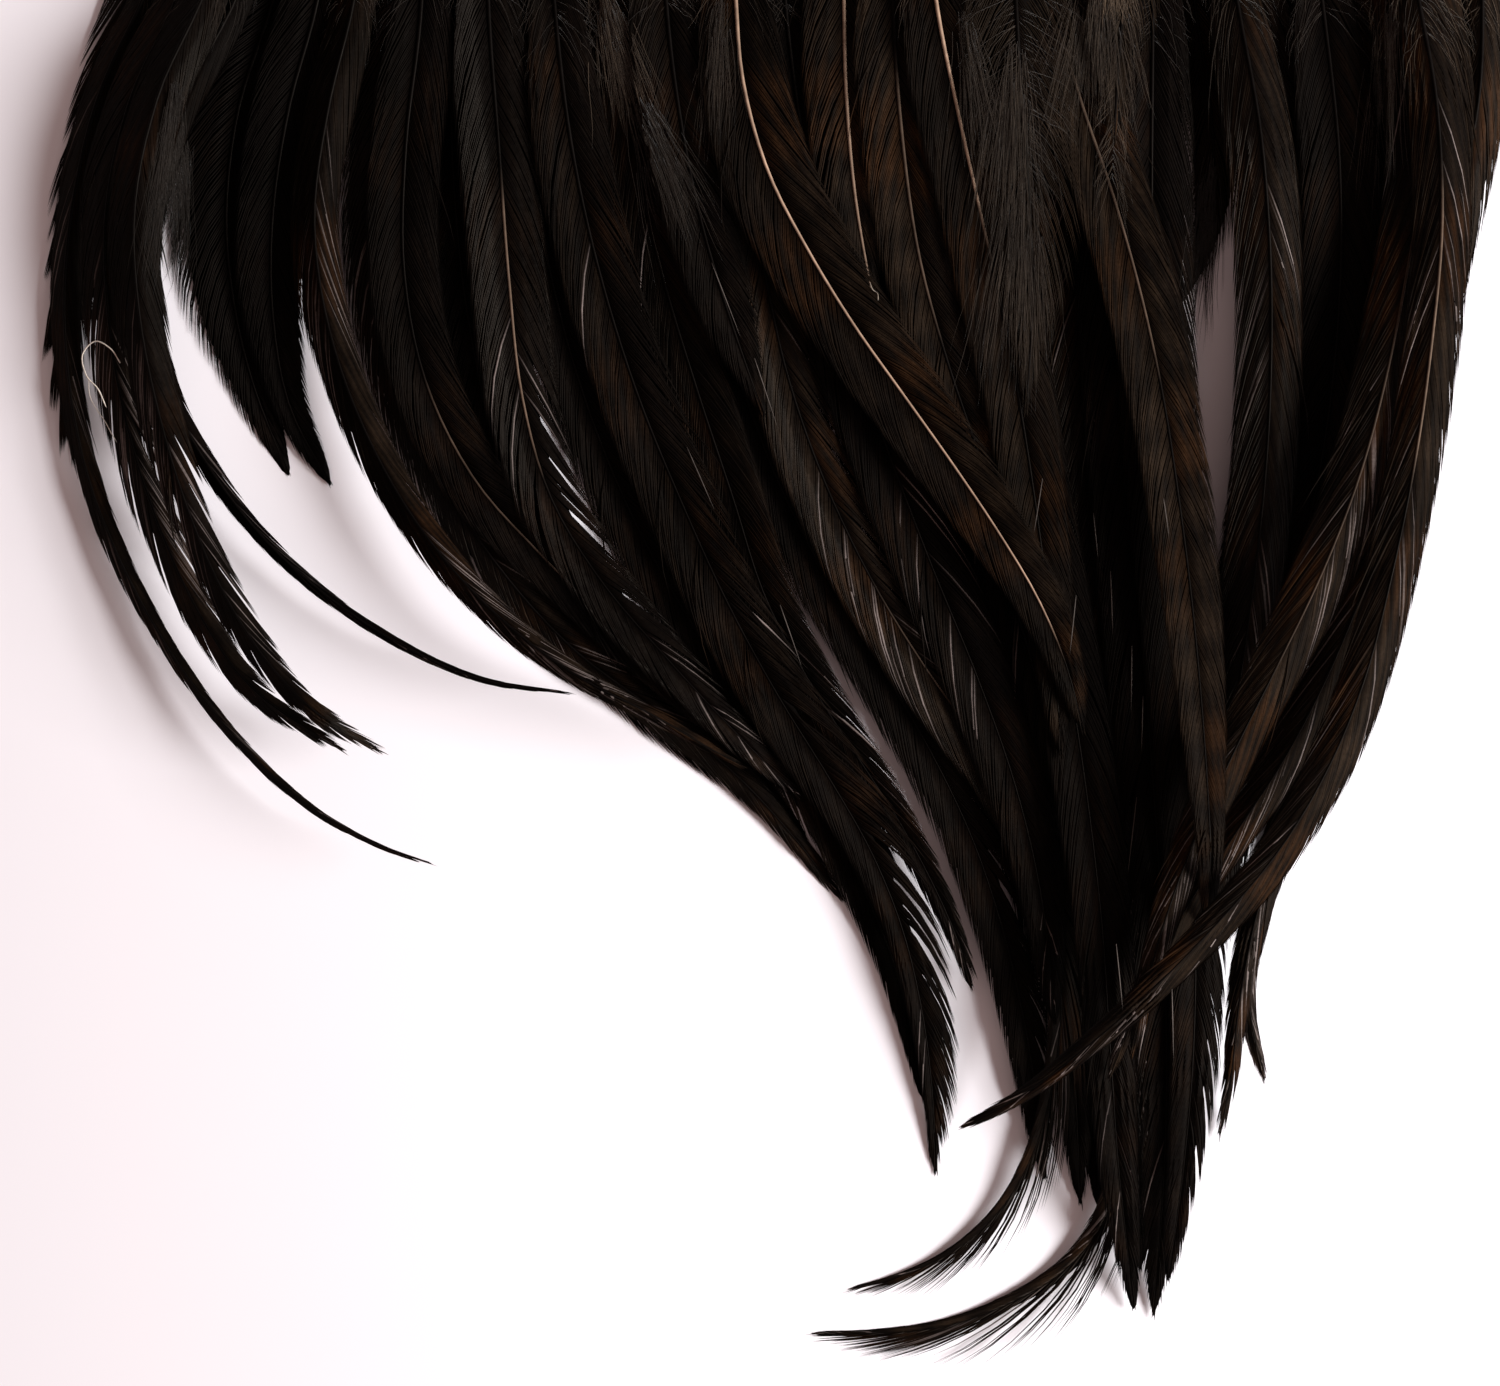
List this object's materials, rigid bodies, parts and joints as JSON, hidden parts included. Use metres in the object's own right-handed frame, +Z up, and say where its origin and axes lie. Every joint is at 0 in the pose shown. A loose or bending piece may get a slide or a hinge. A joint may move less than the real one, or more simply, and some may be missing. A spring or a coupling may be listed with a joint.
{
  "type": "strung feathers",
  "caption": "Bunch of long, narrow, glossy black rooster feathers stitched side by side at the quills, lying fanned and curled on a flat surface.",
  "frame": {"origin": "middle of the flat underside of the front row of stitches, where it lies on the surface", "axes": "+X along the row of stitches, to the right in the picture; +Y from the feathers' tips towards the quill ends, upwards in the picture; +Z up from the surface, towards the camera"},
  "size_m": [0.1762, 0.1934, 0.0168],
  "materials": {
    "feather": "glossy near-black barbs with dark brown gleams, horn-coloured shafts",
    "thread": "matt twisted cotton"
  },
  "bodies": {
    "root": {"feather_01": "feather", "feather_02": "feather", "feather_03": "feather", "feather_04": "feather", "feather_05": "feather", "feather_06": "feather", "feather_07": "feather", "feather_08": "feather", "feather_09": "feather", "feather_10": "feather", "feather_11": "feather", "feather_12": "feather", "feather_13": "feather", "feather_14": "feather", "feather_15": "feather", "feather_16": "feather", "feather_17": "feather", "feather_18": "feather", "feather_19": "feather", "feather_20": "feather", "feather_21": "feather", "feather_22": "feather", "feather_23": "feather", "feather_24": "feather", "feather_25": "feather", "feather_26": "feather", "feather_27": "feather", "feather_28": "feather", "feather_29": "feather", "feather_30": "feather", "feather_31": "feather", "feather_32": "feather", "feather_33": "feather", "feather_34": "feather", "feather_35": "feather", "feather_36": "feather", "feather_37": "feather", "feather_38": "feather", "feather_39": "feather", "feather_40": "feather", "feather_41": "feather", "feather_42": "feather", "feather_43": "feather", "feather_44": "feather", "feather_45": "feather", "feather_46": "feather", "stitching_back_row": "thread", "stitching_front_row": "thread"}
  },
  "joints": []
}
